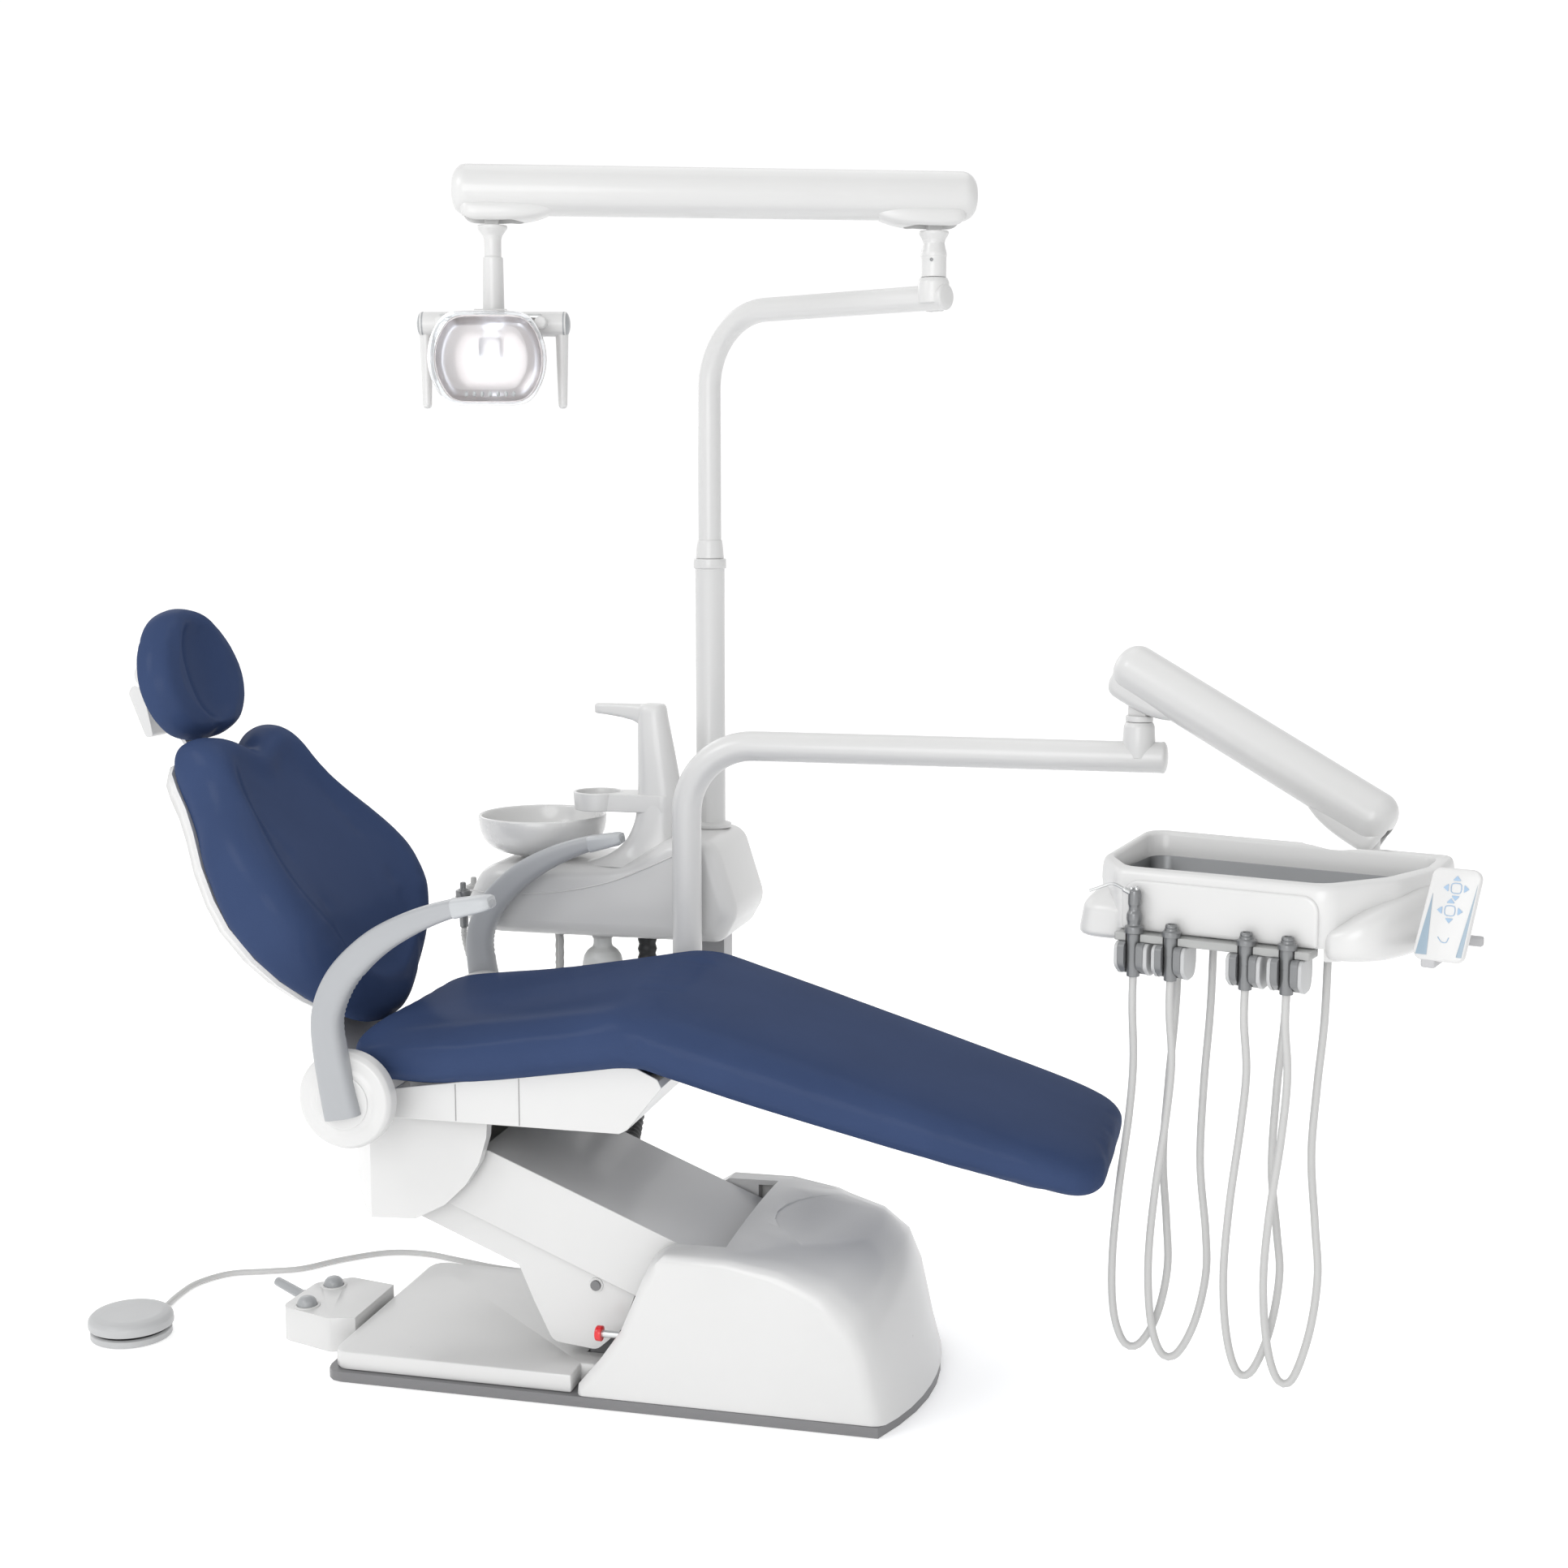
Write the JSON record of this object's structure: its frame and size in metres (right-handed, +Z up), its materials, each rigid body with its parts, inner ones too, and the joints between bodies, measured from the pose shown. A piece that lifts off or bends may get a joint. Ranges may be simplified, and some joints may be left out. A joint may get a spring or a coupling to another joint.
{
  "type": "dental chair",
  "caption": "Dental chair on a parallelogram lift, with reclining back, headrest, armrests, instrument tray on a balanced arm, water unit with bowl, and an operating light.",
  "frame": {"origin": "on the floor, under the middle of the base plate", "axes": "+X from the head towards the patient's feet, +Y across the chair towards the water unit, +Z up"},
  "size_m": [2.3875, 0.9685, 2.0655],
  "materials": {
    "warm_white": "glossy warm white",
    "ceramic_white": "glazed white",
    "bottle_white": "satin white",
    "plinth_grey": "satin dark grey",
    "frame_grey": "satin grey",
    "arm_grey": "satin grey",
    "navy_leather": "smooth navy upholstery",
    "button_grey": "satin grey",
    "holder_grey": "satin dark grey",
    "tool_grey": "glossy dark grey",
    "hose_grey": "matt grey",
    "hose_black": "matt black",
    "stop_red": "glossy red",
    "steel": "brushed",
    "reflector": "mirror-bright",
    "clear_plastic": "clear"
  },
  "bodies": {
    "base": {"base_plate": "plinth_grey", "base_tray": "warm_white", "base_hood": "warm_white", "foot_control": "warm_white", "pedal_base": "button_grey", "pedal_cord": "hose_grey"},
    "stop": {"stop_button": "stop_red"},
    "foot_near": {"foot_button_near": "button_grey"},
    "foot_far": {"foot_button_far": "button_grey"},
    "joystick": {"foot_joystick": "button_grey"},
    "pedal": {"pedal_disc": "button_grey"},
    "lift_arm": {"lift_arm_upper": "warm_white"},
    "lower_link": {"lift_arm_lower": "warm_white"},
    "seat": {"pivot_housing": "warm_white", "seat_frame": "frame_grey", "seat_side_cover": "warm_white", "seat_cushion": "navy_leather", "unit_body": "warm_white", "spout_column": "warm_white", "lamp_post": "warm_white", "drain_hose": "hose_black", "suction_hose_near": "hose_grey", "suction_hose_far": "hose_grey"},
    "armrest_near": {"armrest_near": "arm_grey"},
    "armrest_far": {"armrest_far": "arm_grey"},
    "backrest": {"backrest_frame": "frame_grey", "backrest_shell": "warm_white", "backrest_cushion": "navy_leather"},
    "headrest_slide": {"headrest_bar": "warm_white"},
    "headrest": {"headrest_mount": "warm_white", "headrest_cushion": "navy_leather"},
    "knob": {"headrest_knob": "warm_white"},
    "lever": {"headrest_lever": "warm_white"},
    "bowl": {"bowl": "ceramic_white"},
    "bottle": {"water_bottle": "bottle_white"},
    "suction_near": {"suction_handpiece_near": "hose_grey"},
    "suction_far": {"suction_handpiece_far": "hose_grey"},
    "lamp_tube": {"lamp_tube": "warm_white"},
    "lamp_knuckle": {"lamp_knuckle": "warm_white"},
    "lamp_arm": {"lamp_arm": "warm_white"},
    "lamp_stem": {"lamp_stem": "warm_white"},
    "lamp_yoke": {"lamp_yoke": "warm_white"},
    "lamp_head": {"lamp_head": "reflector", "lamp_shield": "clear_plastic"},
    "delivery_tube": {"delivery_tube": "warm_white"},
    "delivery_knuckle": {"delivery_knuckle": "warm_white"},
    "delivery_arm": {"delivery_arm": "warm_white"},
    "tray_mount": {"tray_mount": "warm_white"},
    "tray": {"tray_body": "warm_white", "instrument_holders": "holder_grey", "keypad": "warm_white", "instrument_hose_1": "hose_grey", "instrument_hose_2": "hose_grey", "instrument_hose_3": "hose_grey", "instrument_hose_4": "hose_grey"},
    "liner": {"tray_liner": "steel"},
    "syringe": {"syringe": "tool_grey"},
    "coupling_1": {"handpiece_coupling_1": "tool_grey"},
    "coupling_2": {"handpiece_coupling_2": "tool_grey"},
    "coupling_3": {"handpiece_coupling_3": "tool_grey"}
  },
  "joints": [
    {"name": "lift", "type": "hinge", "parent": "base", "child": "lift_arm", "pos_m": [0.0722, 0, 0.2162], "axis": [0, 1, 0], "range_deg": [-16, 36]},
    {"name": "lower_link_pivot", "type": "hinge", "parent": "base", "child": "lower_link", "pos_m": [-0.048, 0, 0.183], "axis": [0, 1, 0], "range_deg": [-16, 36]},
    {"name": "seat_level", "type": "hinge", "parent": "lift_arm", "child": "seat", "pos_m": [-0.28013, 0, 0.35855], "axis": [0, 1, 0], "range_deg": [-36, 16]},
    {"name": "stop_press", "type": "slide", "parent": "base", "child": "stop", "axis": [1, 0, 0], "range_m": [0, 0.004], "stiffness_N_per_m": 600},
    {"name": "foot_near_press", "type": "slide", "parent": "base", "child": "foot_near", "axis": [0, 0, -1], "range_m": [0, 0.004], "stiffness_N_per_m": 900},
    {"name": "foot_far_press", "type": "slide", "parent": "base", "child": "foot_far", "axis": [0, 0, -1], "range_m": [0, 0.004], "stiffness_N_per_m": 900},
    {"name": "joystick_tilt", "type": "hinge", "parent": "base", "child": "joystick", "pos_m": [-0.63, -0.0152, 0.0416], "axis": [0, 1, 0], "range_deg": [-3, 3], "stiffness_Nm_per_rad": 2},
    {"name": "pedal_press", "type": "slide", "parent": "base", "child": "pedal", "axis": [0, 0, -1], "range_m": [0, 0.005], "stiffness_N_per_m": 2500},
    {"name": "recline", "type": "hinge", "parent": "seat", "child": "backrest", "pos_m": [-0.434, 0, 0.505], "axis": [0, 1, 0], "range_deg": [-33, 0]},
    {"name": "armrest_near_fold", "type": "hinge", "parent": "seat", "child": "armrest_near", "pos_m": [-0.434, 0, 0.505], "axis": [0, 1, 0], "range_deg": [-75, 0]},
    {"name": "armrest_far_fold", "type": "hinge", "parent": "seat", "child": "armrest_far", "pos_m": [-0.434, 0, 0.505], "axis": [0, 1, 0], "range_deg": [-75, 0]},
    {"name": "headrest_height", "type": "slide", "parent": "backrest", "child": "headrest_slide", "axis": [-0.549, 0, 0.8358], "range_m": [0, 0.1]},
    {"name": "headrest_tilt", "type": "hinge", "parent": "headrest_slide", "child": "headrest", "pos_m": [-0.917, 0, 1.19], "axis": [0, 1, 0], "range_deg": [-25, 0]},
    {"name": "knob_turn", "type": "hinge", "parent": "headrest_slide", "child": "knob", "pos_m": [-0.917, 0, 1.19], "axis": [0, 1, 0], "range_deg": [-180, 180]},
    {"name": "lever_pull", "type": "hinge", "parent": "headrest_slide", "child": "lever", "pos_m": [-0.917, 0, 1.19], "axis": [0, 1, 0], "range_deg": [-10, 0], "stiffness_Nm_per_rad": 4},
    {"name": "bowl_lift", "type": "slide", "parent": "seat", "child": "bowl", "axis": [0, 0, 1], "range_m": [0, 0.016]},
    {"name": "bottle_release", "type": "slide", "parent": "seat", "child": "bottle", "axis": [0, 0, -1], "range_m": [0, 0.06]},
    {"name": "suction_near_lift", "type": "slide", "parent": "seat", "child": "suction_near", "axis": [0, 0, 1], "range_m": [0, 0.05]},
    {"name": "suction_far_lift", "type": "slide", "parent": "seat", "child": "suction_far", "axis": [0, 0, 1], "range_m": [0, 0.05]},
    {"name": "lamp_swing", "type": "hinge", "parent": "seat", "child": "lamp_tube", "pos_m": [-0.042, 0.55, 1.386], "axis": [0, 0, 1], "range_deg": [-90, 90]},
    {"name": "lamp_turn", "type": "hinge", "parent": "lamp_tube", "child": "lamp_knuckle", "pos_m": [0.43, 0.327, 1.885], "axis": [0, 0, 1], "range_deg": [-20, 150]},
    {"name": "lamp_tilt", "type": "hinge", "parent": "lamp_knuckle", "child": "lamp_arm", "pos_m": [0.43, 0.327, 1.996], "axis": [0.3362, -0.9418, 0], "range_deg": [-28, 28]},
    {"name": "lamp_level", "type": "hinge", "parent": "lamp_arm", "child": "lamp_stem", "pos_m": [-0.29, 0.07, 1.996], "axis": [0.3362, -0.9418, 0], "range_deg": [-28, 28]},
    {"name": "lamp_yoke_turn", "type": "hinge", "parent": "lamp_stem", "child": "lamp_yoke", "pos_m": [-0.29, 0.07, 1.798], "axis": [0, 0, 1], "range_deg": [-90, 90]},
    {"name": "lamp_nod", "type": "hinge", "parent": "lamp_yoke", "child": "lamp_head", "pos_m": [-0.28044, 0.03116, 1.807], "axis": [0.971, 0.239, 0], "range_deg": [-25, 25]},
    {"name": "delivery_swing", "type": "hinge", "parent": "seat", "child": "delivery_tube", "pos_m": [-0.027, 0.33, 0.56], "axis": [0, 0, 1], "range_deg": [0, 60]},
    {"name": "delivery_elbow", "type": "hinge", "parent": "delivery_tube", "child": "delivery_knuckle", "pos_m": [0.803, 0.33, 1.1], "axis": [0, 0, 1], "range_deg": [0, 90]},
    {"name": "delivery_height", "type": "hinge", "parent": "delivery_knuckle", "child": "delivery_arm", "pos_m": [0.803, 0.33, 1.199], "axis": [0.3738, 0.9275, 0], "range_deg": [-30, 0]},
    {"name": "tray_level", "type": "hinge", "parent": "delivery_arm", "child": "tray_mount", "pos_m": [1.2, 0.17, 0.982], "axis": [0.3738, 0.9275, 0], "range_deg": [0, 30]},
    {"name": "tray_turn", "type": "hinge", "parent": "tray_mount", "child": "tray", "pos_m": [1.2, 0.17, 0.86], "axis": [0, 0, 1], "range_deg": [0, 60]},
    {"name": "liner_lift", "type": "slide", "parent": "tray", "child": "liner", "axis": [0, 0, 1], "range_m": [0, 0.035]},
    {"name": "syringe_lift", "type": "slide", "parent": "tray", "child": "syringe", "axis": [0, 0, 1], "range_m": [0, 0.05]},
    {"name": "coupling_1_lift", "type": "slide", "parent": "tray", "child": "coupling_1", "axis": [0, 0, 1], "range_m": [0, 0.05]},
    {"name": "coupling_2_lift", "type": "slide", "parent": "tray", "child": "coupling_2", "axis": [0, 0, 1], "range_m": [0, 0.05]},
    {"name": "coupling_3_lift", "type": "slide", "parent": "tray", "child": "coupling_3", "axis": [0, 0, 1], "range_m": [0, 0.05]}
  ],
  "couplings": [
    {"joint": "lower_link_pivot", "follows": "lift", "ratio": 1},
    {"joint": "seat_level", "follows": "lift", "ratio": -1},
    {"joint": "lamp_level", "follows": "lamp_tilt", "ratio": -1},
    {"joint": "tray_level", "follows": "delivery_height", "ratio": -1}
  ]
}
